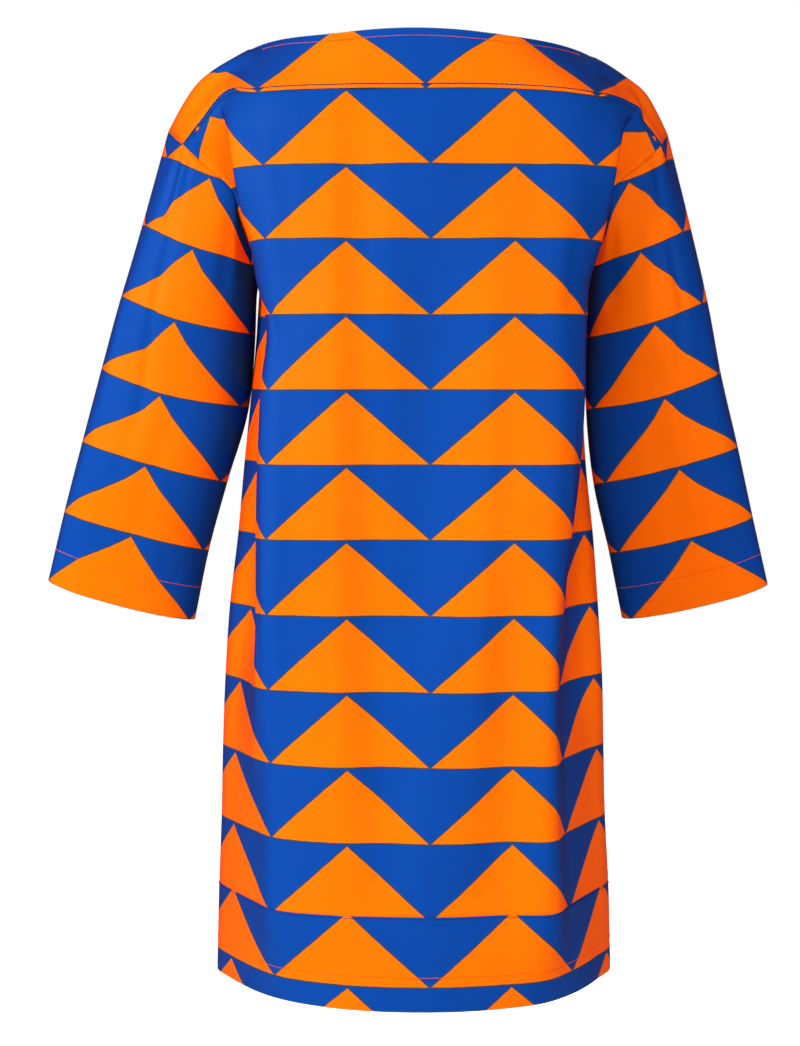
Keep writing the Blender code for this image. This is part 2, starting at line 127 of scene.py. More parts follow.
rightBackLevels = (
    halfRow(225, (86, -126), (152, -110), (168, -84), (152, -58), (160, -34), (171, -4), (173, 8)),
    halfRow(300, (86, -126), (150, -114), (166, -92), (153, -64), (161, -36), (172, 2), (173, 12)),
    halfRow(375, (86, -126), (147, -117), (162, -94), (151, -64), (160, -34), (175, 4), (177, 13)),
    halfRow(450, (85, -127), (141, -119), (154, -96), (149, -64), (161, -32), (183, 5), (185, 13)),
    halfRow(525, (84, -128), (139, -120), (147, -88), (150, -60), (165, -30), (190, 6), (191, 14)),
    halfRow(600, (84, -129), (137, -119), (143, -84), (153, -56), (169, -29), (195, 6), (196, 14)),
    halfRow(675, (84, -130), (137, -120), (147, -84), (161, -57), (176, -30), (197, 6), (198, 14)),
    halfRow(745, (84, -131), (136, -122), (150, -86), (165, -58), (180, -31), (199, 5), (200, 13)),
    halfRow(812, (84, -131), (138, -123), (155, -88), (170, -60), (185, -33), (203, 4), (204, 12)),
    halfRow(907, (84, -128), (128, -110), (157, -82), (176, -55), (190, -29), (206, 4), (207, 12)),
)
# One half of the front, for a left side; the right side is its mirror, eased to its own seams.
# Where a point is None the front shares the back's: the shoulder seam and the side seams.
frontTop = (
    halfRow(-70, (-84, 56, -40), None, None, None, None, None, None),
    halfRow(-34, (-86, 66, -58), (-168, 28, -24), (-190, 18, -27), (-206, 16, -37),
            (-220, 16, -50), (-233, 16, -66), (-246, 18, -87)),
    halfRow(0, (-86, 76, -78), (-160, 56, -52), (-186, 44, -54), (-200, 38, -62),
            (-212, 36, -73), (-222, 36, -84), (-234, 36, -97)),
    halfRow(40, (-85, 88, -104), (-154, 70, -90), (-180, 56, -92), (-184, 46, -97),
            (-194, 44, -103), (-205, 44, -109), (-216, 44, -114)),
    halfRow(75, (-85, 98, -133), (-150, 80, -124), (-172, 64, -125), (-164, 52, -128),
            (-172, 50, -132), (-180, 49, -136), (-188, 48, -140)),
    halfRow(115, (-85, 108, -165), (-148, 90, -162), (-165, 70, -162), (-154, 54, -163),
            (-163, 48, -165), (-171, 45, -167), (-180, 42, -168)),
    halfRow(150, (-85, 115, -196), (-146, 96, -196), (-160, 74, -196), (-150, 56, -196),
            (-157, 44, -196), (-164, 34, -197), (-171, 25, -197)),
    halfRow(190, (-84, 121, -235), (-144, 102, -235), (-156, 78, -234), (-146, 58, -233),
            (-152, 40, -230), (-158, 22, -226), None),
)
frontLevels = (
    halfRow(225, (-84, 126), (-143, 106), (-156, 82), (-148, 60), (-156, 42), (-163, 24), None),
    halfRow(300, (-84, 131), (-144, 110), (-159, 86), (-154, 63), (-162, 43), (-171, 28), None),
    halfRow(375, (-84, 135), (-146, 113), (-162, 89), (-160, 66), (-169, 46), (-179, 30), None),
    halfRow(450, (-84, 138), (-147, 116), (-165, 92), (-166, 69), (-175, 48), (-186, 31), None),
    halfRow(525, (-85, 140), (-148, 118), (-167, 95), (-172, 72), (-181, 50), (-192, 31), None),
    halfRow(600, (-85, 141), (-149, 120), (-169, 98), (-178, 75), (-187, 52), (-197, 31), None),
    halfRow(675, (-86, 142), (-151, 121), (-171, 99), (-182, 76), (-191, 53), (-200, 31), None),
    halfRow(745, (-86, 143), (-152, 122), (-173, 100), (-185, 77), (-194, 54), (-203, 31), None),
    halfRow(812, (-87, 144), (-153, 123), (-175, 101), (-188, 78), (-198, 54), (-207, 31), None),
    halfRow(907, (-88, 144), (-155, 123), (-178, 101), (-192, 78), (-201, 54), (-210, 31), None),
)
centreRow = namedtuple("centreRow", "drop backY backZ frontY frontZ")
centreLine = (
    centreRow(-70, -73, 16, 72, -60),
    centreRow(-34, -88, -15, 78, -74),
    centreRow(0, -100, -47, 84, -90),
    centreRow(40, -110, -87, 94, -112),
    centreRow(75, -118, -122, 104, -138),
    centreRow(115, -122, -161, 114, -168),
    centreRow(150, -125, -195, 121, -197),
    centreRow(190, -128, -235, 127, -235),
    centreRow(225, -130, -270, 131, -270),
    centreRow(300, -130, -344, 136, -344),
    centreRow(375, -130, -419, 140, -419),
    centreRow(450, -130, -493, 143, -493),
    centreRow(525, -131, -568, 145, -568),
    centreRow(600, -132, -643, 146, -643),
    centreRow(675, -133, -717, 147, -717),
    centreRow(745, -134, -790, 148, -790),
    centreRow(812, -136, -861, 149, -861),
    centreRow(907, -139, -956, 150, -956),
)
armholeDrops = (-70, -52, -34, -17, 0, 20, 40, 57, 75, 95, 115, 150, 190)
# Rings of a sleeve: the two fold-side points, and how far back and front swell from them
sleeveRing = namedtuple("sleeveRing", "drop outer inner backDepth frontDepth")
leftRings = (
    sleeveRing(112, (-295, 5, -209), (-167, 12, -250), 52, 48),
    sleeveRing(150, (-307, 8, -246), (-169, 20, -287), 53, 50),
    sleeveRing(223, (-330, 17, -321), (-177, 24, -363), 45, 45),
    sleeveRing(297, (-352, 28, -394), (-200, 32, -438), 41, 42),
    sleeveRing(370, (-375, 44, -470), (-222, 50, -512), 35, 36),
    sleeveRing(443, (-397, 64, -546), (-239, 64, -588), 28, 29),
)
rightRings = (
    sleeveRing(112, (292, 5, -213), (177, 12, -250), 52, 48),
    sleeveRing(150, (302, 10, -252), (176, 20, -290), 53, 50),
    sleeveRing(223, (318, 17, -326), (178, 24, -365), 45, 45),
    sleeveRing(297, (338, 28, -400), (187, 32, -440), 41, 42),
    sleeveRing(370, (358, 44, -476), (206, 50, -515), 35, 36),
    sleeveRing(443, (379, 64, -550), (222, 64, -587), 28, 29),
)


def smoothRows(points, knots, spans, parts):
    # smooth curves through the control points, one for each column, read at span + part
    steps = np.diff(knots, axis=0)[..., None]
    rises = np.diff(points, axis=0) / steps
    between = (rises[:-1] * steps[1:] + rises[1:] * steps[:-1]) / (steps[1:] + steps[:-1])
    slopes = np.concatenate([rises[:1], between, rises[-1:]])
    u = parts[:, None, None]
    line = points[spans] * (2 * u**3 - 3 * u**2 + 1) + points[spans + 1] * (3 * u**2 - 2 * u**3)
    lean = slopes[spans] * (u**3 - 2 * u**2 + u) + slopes[spans + 1] * (u**3 - u**2)
    return line + lean * steps[spans]


def alongKnots(points):
    # lengths along each column of control points
    steps = np.maximum(np.linalg.norm(np.diff(points, axis=0), axis=-1), 1e-6)
    return np.concatenate([np.zeros((1,) + steps.shape[1:]), np.cumsum(steps, axis=0)])


def evenParts(stepsOfSpans):
    # the span and part of every sample, with the last end included
    spans = np.concatenate([np.full(steps, index) for index, steps in enumerate(stepsOfSpans)])
    parts = np.concatenate([np.arange(steps) / steps for steps in stepsOfSpans])
    last = len(stepsOfSpans) - 1
    return np.append(spans, last).astype(int), np.append(parts, 1.0)


def controlRows():
    # the back's and the front's control points, rows x 15 columns x 3
    back, front = [], []
    for index, centre in enumerate(centreLine):
        halves = []
        for top, levels in ((leftBackTop, leftBackLevels), (rightBackTop, rightBackLevels)):
            half = (top + levels)[index][1:]
            halves.append([p if len(p) == 3 else (*p, centre.backZ) for p in half])
        back.append(halves[0][::-1] + [(0, centre.backY, centre.backZ)] + halves[1])
        drawn = (frontTop + frontLevels)[index][1:]
        row = [(0, centre.frontY, centre.frontZ)]
        for sign, half in ((-1, halves[0]), (1, halves[1])):
            ease = abs(half[-1][0]) - abs(halves[0][-1][0])
            side = []
            for column, point in enumerate(drawn):
                if point is None:
                    side.append(half[column])
                    continue
                height = point[2] if len(point) == 3 else centre.frontZ
                side.append((sign * (abs(point[0]) + ease * (column + 1) / 7), point[1], height))
            row = side[::-1] + row if sign < 0 else row + side
        front.append(row)
    return np.array(back, float), np.array(front, float)


class bodyForm:
    # the worn form of the body, read at any cloth length below the yoke seam
    def __init__(self):
        spans, parts = evenParts(sampling["across"][::-1] + sampling["across"])
        self.knots = np.array([centre.drop for centre in centreLine], float)
        self.fine = {}
        for side, rows in zip(("back", "front"), controlRows()):
            across = rows.transpose(1, 0, 2)
            fine = smoothRows(across, alongKnots(across), spans, parts)
            self.fine[side] = fine.transpose(1, 0, 2)
        self.columns = len(spans)
        self.centre = self.columns // 2
        reach = sum(sampling["across"][:2])
        self.inNeck = np.abs(np.arange(self.columns) - self.centre) < reach
        self.neckEnds = (self.centre - reach, self.centre + reach)

    def rows(self, side, where):
        # columns beyond the neck points run over the shoulder and share their slope there
        where = np.asarray(where, float)
        near = self.fine[side]
        far = self.fine["front" if side == "back" else "back"]
        chain = np.concatenate([far[:0:-1], near])
        over = 2 * self.knots[0] - self.knots[:0:-1]
        picked = []
        for points, knots in ((near, self.knots), (chain, np.concatenate([over, self.knots]))):
            spans = np.clip(np.searchsorted(knots, where, side="right") - 1, 0, len(knots) - 2)
            parts = (where - knots[spans]) / (knots[spans + 1] - knots[spans])
            wide = np.repeat(knots[:, None], self.columns, axis=1)
            picked.append(smoothRows(points, wide, spans, parts))
        return np.where(self.inNeck[None, :, None], picked[0], picked[1])


def outward(grid, facing):
    # directions out of a grid of points, rows down and columns across
    normal = np.cross(np.gradient(grid, axis=0), np.gradient(grid, axis=1)) * facing
    return normal / np.maximum(np.linalg.norm(normal, axis=-1, keepdims=True), 1e-9)


def lengthsAlong(grid, axis):
    # cloth lengths from the first row or column
    steps = np.linalg.norm(np.diff(grid, axis=axis), axis=-1)
    start = np.zeros_like(np.take(steps, [0], axis=axis))
    return np.concatenate([start, np.cumsum(steps, axis=axis)], axis=axis)


def closeRows(start, end, step, close=()):
    # evenly spaced rows, with closer ones where a seam or a line of stitches needs them
    even = np.linspace(start, end, max(2, round((end - start) / step) + 1))
    kept = [row for row in even if all(abs(row - place) > step * 0.3 for place in close)]
    return np.array(sorted(set(kept) | set(close) | {start, end}))


# Folds and creases on the cloth's own plan: across from the centre line (or from a sleeve's
# outer fold, towards the back), down from the yoke seam. A plus depth is a trough.
crease = namedtuple("crease", "fromAcross fromDown toAcross toDown width depth")
backCreases = (
    crease(-149, 225, -143, 262, 5, 2.2),      # short dent inside the left fold
    crease(-143, 262, -147, 292, 5, 1.6),
    crease(-136, 40, -128, 150, 11, 1.6),
    crease(158, 150, 150, 214, 6, 2.2),        # kink on the right fold
    crease(22, 170, -8, 470, 44, 12.0),        # the broad trough between the shoulder blades
    crease(-8, 500, -28, 700, 38, 9.0),
    crease(-56, 90, -46, 640, 21, 6.5),        # beside the sharp ridge left of the middle
    crease(-84, 70, -80, 610, 9, -1.6),
    crease(76, 190, 58, 640, 10, -1.5),
    crease(-128, 190, -124, 600, 20, 4.5),
    crease(-36, 700, -38, 800, 28, 5.0),
    crease(108, 500, 86, 780, 34, 9.0),        # the right flank falls away lower down
    crease(60, 20, 54, 130, 30, 1.6),
    crease(118, 40, 112, 240, 14, 1.8),
    crease(-172, 330, -168, 560, 7, 1.4),
    crease(168, 300, 176, 560, 7, 1.5),
)
yokeCreases = (
    crease(-70, -62, -84, -6, 16, 0.8),
    crease(64, -60, 76, -8, 16, 0.8),
    crease(-186, -52, -206, -20, 7, 0.9),
    crease(196, -50, 214, -18, 7, 0.9),
    crease(4, -60, 2, -6, 22, 0.5),
)
frontCreases = (
    crease(-140, 10, -92, 96, 12, 2.0),        # drag lines from the armholes to the bust
    crease(146, 14, 98, 100, 12, 1.8),
    crease(-60, 170, -52, 560, 26, 2.0),
    crease(8, 220, 4, 640, 28, 1.6),
    crease(70, 180, 78, 600, 24, 2.2),
    crease(-112, 330, -116, 800, 18, 2.4),
    crease(122, 380, 120, 860, 18, 2.2),
    crease(-28, 600, -30, 905, 20, -1.8),
    crease(44, 640, 46, 905, 18, -1.6),
    crease(-176, 240, -182, 520, 8, 1.4),
    crease(182, 260, 188, 500, 8, 1.3),
)
leftSleeveCreases = (
    crease(45, 0, 45, 66, 5, 2.8),         # long crease down the back of the arm
    crease(61, 84, 64, 160, 5, 3.2),
    crease(66, 170, 72, 250, 7, 3.0),
    crease(72, 260, 62, 320, 8, 1.2),
    crease(61, 2, 62, 44, 4, 2.2),
    crease(118, 40, 128, 110, 9, 2.0),
    crease(22, 160, 34, 270, 12, -1.4),
    crease(104, 250, 96, 380, 12, 1.5),
    crease(40, 340, 44, 440, 12, -1.2),
    crease(-62, 4, -74, 210, 9, 2.2),
    crease(-112, 60, -104, 160, 9, 1.8),
    crease(-34, 210, -44, 330, 12, 1.6),
    crease(-96, 290, -92, 420, 12, -1.4),
)
rightSleeveCreases = (
    crease(63, 2, 62, 50, 5, 3.0),
    crease(57, 84, 58, 150, 5, 3.4),
    crease(66, 160, 68, 212, 5, 3.2),
    crease(72, 224, 74, 280, 6, 2.4),
    crease(72, 290, 62, 330, 9, 1.2),
    crease(116, 50, 128, 118, 9, 1.8),
    crease(26, 180, 32, 290, 12, -1.4),
    crease(102, 270, 96, 400, 12, 1.4),
    crease(42, 350, 46, 440, 11, -1.1),
    crease(-58, 10, -72, 190, 9, 2.0),
    crease(-108, 70, -98, 150, 9, 1.6),
    crease(-40, 220, -46, 350, 12, 1.5),
    crease(-90, 300, -88, 430, 12, -1.3),
)


def creasePlace(plan, fold):
    # how far along a crease each point lies, as a share of its length, and how far to its side
    start = np.array([fold.fromAcross, fold.fromDown], float)
    run = np.array([fold.toAcross, fold.toDown], float) - start
    length = np.linalg.norm(run)
    along = ((plan - start) @ run) / length**2
    aside = ((plan - start) @ np.array([run[1], -run[0]])) / length
    return along, aside


def creaseEnds(along):
    # creases fade out a little beyond both ends
    ends = np.clip((along + 0.3) / 0.45, 0, 1) * np.clip((1.3 - along) / 0.45, 0, 1)
    return ends * ends * (3 - 2 * ends)


def creaseDepth(plan, creases):
    # how far each point of the plan sinks
    depth = np.zeros(plan.shape[:2])
    for fold in creases:
        along, aside = creasePlace(plan, fold)
        depth += fold.depth * creaseEnds(along) * np.exp(-((aside / fold.width) ** 2))
    return depth


body = bodyForm()
print("body form: %d columns" % body.columns)

# The printed cloth: rows of triangles, and where they fall on each piece. The base lines lie
# at whole rows, and the triangles meet corner to corner at whole repeats.
printCloth = {
    "sleeveRow": 73.6,       # a row as it lies on the sleeves
    "repeatAcross": 165.0,
    "repeatDown": 74.4,
    "lineGap": 2.2,          # blue between a base line and the next row's tips
    "bodyCorner": 12.0,      # where a corner lies to the right of the centre line
}
# Cloth lengths below the yoke seam at which each row's base line falls
rowLine = namedtuple("rowLine", "drop row")
panelLines = (
    rowLine(-90, -1.2), rowLine(0, 0.0), rowLine(74.8, 1), rowLine(148.8, 2), rowLine(222.3, 3),
    rowLine(296.8, 4), rowLine(370.3, 5), rowLine(445.0, 6), rowLine(520.1, 7), rowLine(595.6, 8),
    rowLine(671.3, 9), rowLine(743.6, 10), rowLine(812.0, 10.945), rowLine(822.0, 11.08),
)
bandLines = (rowLine(800, -0.08), rowLine(812, 0.078), rowLine(882.1, 1.0), rowLine(950, 1.93))
# The yoke lies straight on the grain. By place across: the share of it at which the print
# falls, and the yoke's cloth height there
yokeColumn = namedtuple("yokeColumn", "across share height")
yokeColumns = (
    yokeColumn(0, 1.0, 67), yokeColumn(84, 1.0, 66), yokeColumn(130, 1.02, 69),
    yokeColumn(159, 0.985, 71), yokeColumn(184, 0.955, 73), yokeColumn(210, 0.94, 74),
    yokeColumn(227, 0.935, 70), yokeColumn(240, 0.94, 60), yokeColumn(257, 0.94, 50),
    yokeColumn(290, 0.94, 42),
)
yokeTuck = {              # the yoke's edge is folded up and stitched down
    "corner": 7.5,        # where a corner of the print lies, left of the centre line
    "stitchDrop": -4.0,
    "taken": 4.0,         # print lost in the fold, less towards the shoulders
    "takenAtShoulder": -2.0,
    "taperFrom": 188, "taperTo": 200,
}
# A sleeve's print: the cloth lengths from the outer fold, round the back, at which each
# eighth of the repeat falls, and how far the base lines stray at the folds and in the middle
sleeveLine = namedtuple("sleeveLine", "drop c0 c1 c2 c3 c4 c5 c6 c7 c8")
leftSleeveLines = (
    sleeveLine(37, 22, 45, 53, 69, 87, 101, 123, 144, 167),
    sleeveLine(110, 20, 46, 62, 74, 88, 104, 129, 153, 182),
    sleeveLine(184, 10, 35, 64, 76, 90, 106, 127, 149, 178),
    sleeveLine(257, 7, 28, 55, 76, 89, 106, 128, 153, 177),
    sleeveLine(331, 6, 25, 50, 73, 93, 109, 131, 152, 174),
    sleeveLine(405, 4, 21, 40, 65, 90, 110, 129, 152, 171),
)
rightSleeveLines = (
    sleeveLine(37, 36, 44, 60, 70, 89, 107, 127, 150, 180),
    sleeveLine(110, 36, 54, 61, 79, 89, 111, 137, 158, 178),
    sleeveLine(184, 24, 42, 62, 75, 90, 110, 128, 143, 166),
    sleeveLine(257, 10, 34, 56, 74, 86, 102, 124, 146, 168),
    sleeveLine(331, 5, 25, 49, 70, 87, 105, 126, 148, 167),
    sleeveLine(405, 3, 22, 43, 64, 85, 103, 123, 144, 165),
)
strayLine = namedtuple("strayLine", "drop folds middle")
leftStray = (
    strayLine(0, -1, -5), strayLine(74, 0, -6), strayLine(148, -1, -8), strayLine(222, 0, -8),
    strayLine(296, -4, -6), strayLine(370, -3, -4), strayLine(443, -1, -3.5),
)
rightStray = (
    strayLine(0, -1, -6), strayLine(74, -1, -5), strayLine(148, -1, -5), strayLine(222, 0, -6),
    strayLine(296, -4, -6), strayLine(370, -3, -5), strayLine(443, -1, -4),
)


def printOnBody(plan, lines):
    # rows by the table, corners counted from the one nearest to the centre line
    rows = np.interp(plan[..., 1], [line.drop for line in lines], [line.row for line in lines])
    return np.stack([plan[..., 0] - printCloth["bodyCorner"], rows * printCloth["repeatDown"]], axis=-1)


def printOnYoke(levels, seamAcross):
    across = np.abs(seamAcross)[None, :]
    places = [column.across for column in yokeColumns]
    share = np.interp(across, places, [column.share for column in yokeColumns])
    height = np.interp(across, places, [column.height for column in yokeColumns])
    up = levels[:, None] / drops["neck"]
    placed = np.repeat(seamAcross[None, :] * share - yokeTuck["corner"], len(up), axis=0)
    down = -up * height - yokeTuck["stitchDrop"]
    taper = (yokeTuck["taperFrom"], yokeTuck["taperTo"])
    taken = np.interp(across, taper, (yokeTuck["taken"], yokeTuck["takenAtShoulder"]))
    folded = (levels[:, None] > yokeTuck["stitchDrop"] + 0.01) & (down > -1)
    down = np.where(folded, down - taken - 0.6, down)
    return np.stack([placed, down], axis=-1)


def printOnSleeve(plan, lines, stray):
    arcs = plan[..., 0]
    eighths = np.linspace(0, printCloth["repeatAcross"], 9)
    placed = []
    for line in lines:
        stops = np.array(line[1:], float)
        inside = np.interp(arcs, stops, eighths)
        before = np.minimum(arcs - stops[0], 0)
        after = np.maximum(arcs - stops[-1], 0)
        placed.append(inside + before + after)
    placed = np.array(placed)
    levels = np.array([line.drop for line in lines], float)
    where = np.clip(plan[..., 1], levels[0], levels[-1])
    low = np.clip(np.searchsorted(levels, where, side="right") - 1, 0, len(levels) - 2)
    part = (where - levels[low]) / (levels[low + 1] - levels[low])
    across = np.take_along_axis(placed, low[None], 0)[0] * (1 - part)
    across = across + np.take_along_axis(placed, low[None] + 1, 0)[0] * part
    levels = [line.drop for line in stray]
    folds = np.interp(plan[..., 1], levels, [line.folds for line in stray])
    middle = np.interp(plan[..., 1], levels, [line.middle for line in stray])
    belly = np.sin(math.pi * np.clip(across / printCloth["repeatAcross"], 0, 1))
    rows = (plan[..., 1] + folds + (middle - folds) * belly) / printCloth["sleeveRow"]
    return np.stack([across, rows * printCloth["repeatDown"]], axis=-1)


def turnPlaces(kind, edge, sign, turn):
    # where the rows of a turned edge lie on the form, how far inside, and where on the plan
    if kind == "hem" and turn > 0:
        backs = np.array([0.3, 1.0, 3.0, turn * 0.6, turn])
        depths = hemSteps * cloth["hemSpace"]
    else:
        backs = np.array([0.1, 0.2, 0.3, 0.4, 0.5])
        depths = flapSteps * cloth["seamFlap"]
    return edge + sign * backs, depths, edge - sign * backs


def bodyPiece(name, side, rows, ends, creases, place, proud=0.0):
    # a piece of the body: its surface, its plan, and the cloth turned inside at its edges
    facing = 1 if side == "back" else -1
    grid = body.rows(side, rows)
    plan = planOfBody(grid, rows)
    normal = outward(grid, facing)
    distance = np.minimum(rows - rows[0], rows[-1] - rows)
    dip = cloth["seamDip"] * np.exp(-((distance / cloth["dipWidth"]) ** 2))
    lift = proud * np.exp(-((rows[-1] - rows) / 6.0) ** 2)
    sink = creaseDepth(plan, creases) + (dip - lift)[:, None]
    shaped = grid - normal * sink[..., None]
    turned, turnedPlans = [], []
    for at, end, sign in ((0, "top", 1), (-1, "bottom", -1)):
        inHem = ends["hemAt"][at] if "hemAt" in ends else np.full(body.columns, ends[end] > 0)
        choices = []
        for kind in ("hem", "seam"):
            places, depths, planPlaces = turnPlaces(kind, rows[at], sign, ends[end])
            across = np.repeat(plan[at][None, :, 0], len(places), axis=0)
            down, planDown = (
                plan[at][None, :, 1] + (stops - rows[at])[:, None] for stops in (places, planPlaces))
            under = creaseDepth(np.stack([across, down], axis=-1), creases)
            under = under + depths[:, None] + dip[at] * (kind == "seam")
            there = body.rows(side, places) - normal[at] * under[..., None]
            choices.append((there, np.stack([across, planDown], axis=-1)))
        for store, hem, seam in zip((turned, turnedPlans), *choices):
            store.append(np.where(inHem[None, :, None], hem, seam))
    turns = len(turned[0])
    shaped = np.concatenate([turned[0][::-1], shaped, turned[1]])
    plan = np.concatenate([turnedPlans[0][::-1], plan, turnedPlans[1]])
    normal = np.concatenate([np.repeat(normal[:1], turns, 0), normal, np.repeat(normal[-1:], turns, 0)])
    if place == "yoke":
        above = drops["neck"] - np.arange(turns, 0, -1) * 2.0
        levels = np.concatenate([above, rows, np.arange(1.0, turns + 1)])
        plan = printOnYoke(levels, plan[-1 - turns, :, 0])
    else:
        plan = printOnBody(plan, panelLines if place == "panel" else bandLines)
    grid, plan = flapColumns(shaped, normal, plan)
    return clothPiece(name, grid, plan, facing)


def planOfBody(grid, rows):
    # across by cloth length from the centre line, down by cloth length from the yoke seam
    across = lengthsAlong(grid, 1)
    across = across - across[:, body.centre][:, None]
    down = np.repeat(rows[:, None], grid.shape[1], axis=1).astype(float)
    above = rows < 0
    if above.any():
        reach = grid[:above.sum() + 1] if above.sum() < len(rows) else grid
        up = lengthsAlong(reach[::-1], 0)[::-1]
        down[above] = -up[:above.sum()]
    return np.stack([across, down], axis=-1)


def flapColumns(grid, normal, plan):
    # seam allowances that turn inside along both side edges
    depths = sideSteps * cloth["seamFlap"]
    steps = np.array([0.5, 0.35, 0.2, 0.1])
    flaps, flapPlans = [], []
    for edge, inner, sign in ((0, 1, -1), (-1, -2, 1)):
        pull = grid[:, inner] - grid[:, edge]
        pull = pull / np.linalg.norm(pull, axis=-1, keepdims=True)
        flap = [grid[:, edge] - normal[:, edge] * depth + pull * step for depth, step in zip(depths, steps)]
        flapPlan = [plan[:, edge] + np.array([sign * depth, 0]) for depth in depths]
        flaps.append(np.stack(flap[::-sign], 1))
        flapPlans.append(np.stack(flapPlan[::-sign], 1))
    columns = np.concatenate([flaps[0], grid, flaps[1]], axis=1)
    return columns, np.concatenate([flapPlans[0], plan, flapPlans[1]], axis=1)


def clothPiece(name, grid, plan, facing):
    # a sheet of cloth: printed outside, its paler reverse inside
    down, across = grid.shape[:2]
    index = np.arange(down * across).reshape(down, across)
    around = (index[:-1, :-1], index[1:, :-1], index[1:, 1:], index[:-1, 1:])
    corners = np.stack(around, axis=-1).reshape(-1, 4)
    if facing < 0:
        corners = corners[:, ::-1]
    mesh = bpy.data.meshes.new(name)
    mesh.from_pydata((grid.reshape(-1, 3) * mm).tolist(), [], corners.tolist())
    layer = mesh.uv_layers.new(name="clothPlan")
    flat = (plan.reshape(-1, 2) * mm)[corners.reshape(-1)]
    layer.data.foreach_set("uv", flat.astype(np.float32).ravel())
    mesh.shade_smooth()
    piece = bpy.data.objects.new(name, mesh)
    bpy.context.scene.collection.objects.link(piece)
    mesh.materials.append(printedCotton)
    mesh.materials.append(cottonReverse)
    thick = piece.modifiers.new("clothThickness", "SOLIDIFY")
    thick.thickness = cloth["thickness"] * mm
    thick.offset = -1
    thick.material_offset = 1
    thick.material_offset_rim = 1
    return piece


# Node groups that the materials share


def newGroup(name, inputs, outputs):
    group = bpy.data.node_groups.new(name, "ShaderNodeTree")
    for label, kind, value in inputs:
        socket = group.interface.new_socket(label, in_out="INPUT", socket_type=kind)
        if value is not None:
            socket.default_value = value
    for label, kind in outputs:
        group.interface.new_socket(label, in_out="OUTPUT", socket_type=kind)
    start = group.nodes.new("NodeGroupInput")
    end = group.nodes.new("NodeGroupOutput")
    return group, start, end


class wires:
    # short ways to add a node and join it
    def __init__(self, tree):
        self.tree = tree

    def node(self, kind, **facts):
        made = self.tree.nodes.new(kind)
        for key, value in facts.items():
            setattr(made, key, value)
        return made

    def join(self, source, target):
        self.tree.links.new(source, target)

    def feed(self, socket, value):
        if isinstance(value, bpy.types.NodeSocket):
            self.join(value, socket)
        else:
            socket.default_value = value

    def math(self, operation, first, second=None, third=None, clamp=False):
        made = self.node("ShaderNodeMath", operation=operation, use_clamp=clamp)
        for socket, value in zip(made.inputs, (first, second, third)):
            if value is not None:
                self.feed(socket, value)
        return made.outputs[0]

    def mix(self, factor, first, second, blend="MIX"):
        made = self.node("ShaderNodeMix", data_type="RGBA", blend_type=blend)
        self.feed(made.inputs[0], factor)
        self.feed(made.inputs[6], first)
        self.feed(made.inputs[7], second)
        return made.outputs[2]


def makeTrianglePrint():
    # rows of upright triangles, corner to corner
    group, start, end = newGroup(
        "trianglePrint",
        (("Plan", "NodeSocketVector", None),
         ("Pitch Across", "NodeSocketFloat", printCloth["repeatAcross"] * mm),
         ("Pitch Down", "NodeSocketFloat", printCloth["repeatDown"] * mm),
         ("Line Gap", "NodeSocketFloat", printCloth["lineGap"] * mm),
         ("Edge Softness", "NodeSocketFloat", 0.0004), ("Edge Waver", "NodeSocketFloat", 0.0005)),
        (("Orange", "NodeSocketFloat"), ("Edge", "NodeSocketFloat")),
    )
    w = wires(group)
    plan = start.outputs["Plan"]
    noise = w.node("ShaderNodeTexNoise", noise_dimensions="2D")
    noise.inputs["Scale"].default_value = 90.0
    noise.inputs["Detail"].default_value = 2.0
    w.join(plan, noise.inputs["Vector"])
    split = w.node("ShaderNodeSeparateXYZ")
    w.join(plan, split.inputs[0])
    waver = w.math("MULTIPLY", w.math("SUBTRACT", noise.outputs["Fac"], 0.5), start.outputs["Edge Waver"])
    pitchDown, gap = start.outputs["Pitch Down"], start.outputs["Line Gap"]
    softness = start.outputs["Edge Softness"]
    across = w.math("DIVIDE", w.math("ADD", split.outputs["X"], waver), start.outputs["Pitch Across"])
    aside = w.math("ABSOLUTE", w.math("SUBTRACT", w.math("FRACT", across), 0.5))
    fromMiddle = w.math("MULTIPLY", aside, 2.0)
    row = w.math("DIVIDE", w.math("ADD", split.outputs["Y"], waver), pitchDown)
    down = w.math("MULTIPLY", w.math("FRACT", row), pitchDown)
    slope = w.math("MULTIPLY", fromMiddle, w.math("SUBTRACT", pitchDown, gap))
    inside = w.math("SUBTRACT", w.math("SUBTRACT", down, gap), slope)
    ramp = w.math("DIVIDE", inside, softness)
    sloped = w.math("ADD", ramp, 0.5, clamp=True)
    toLine = w.math("SUBTRACT", pitchDown, down)
    line = w.math("ADD", w.math("DIVIDE", toLine, softness), 0.0, clamp=True)
    w.join(w.math("MULTIPLY", sloped, line), end.inputs["Orange"])
    # where the two dyes overlap, a narrow dark line
    slopeEdge = w.math("SUBTRACT", 2.1, w.math("ABSOLUTE", w.math("MULTIPLY", ramp, 0.7)), clamp=True)
    lineRamp = w.math("DIVIDE", w.math("MINIMUM", down, toLine), softness)
    lineEdge = w.math("SUBTRACT", 1.9, w.math("MULTIPLY", lineRamp, 0.7), clamp=True)
    w.join(w.math("MAXIMUM", slopeEdge, lineEdge), end.inputs["Edge"])
    return group


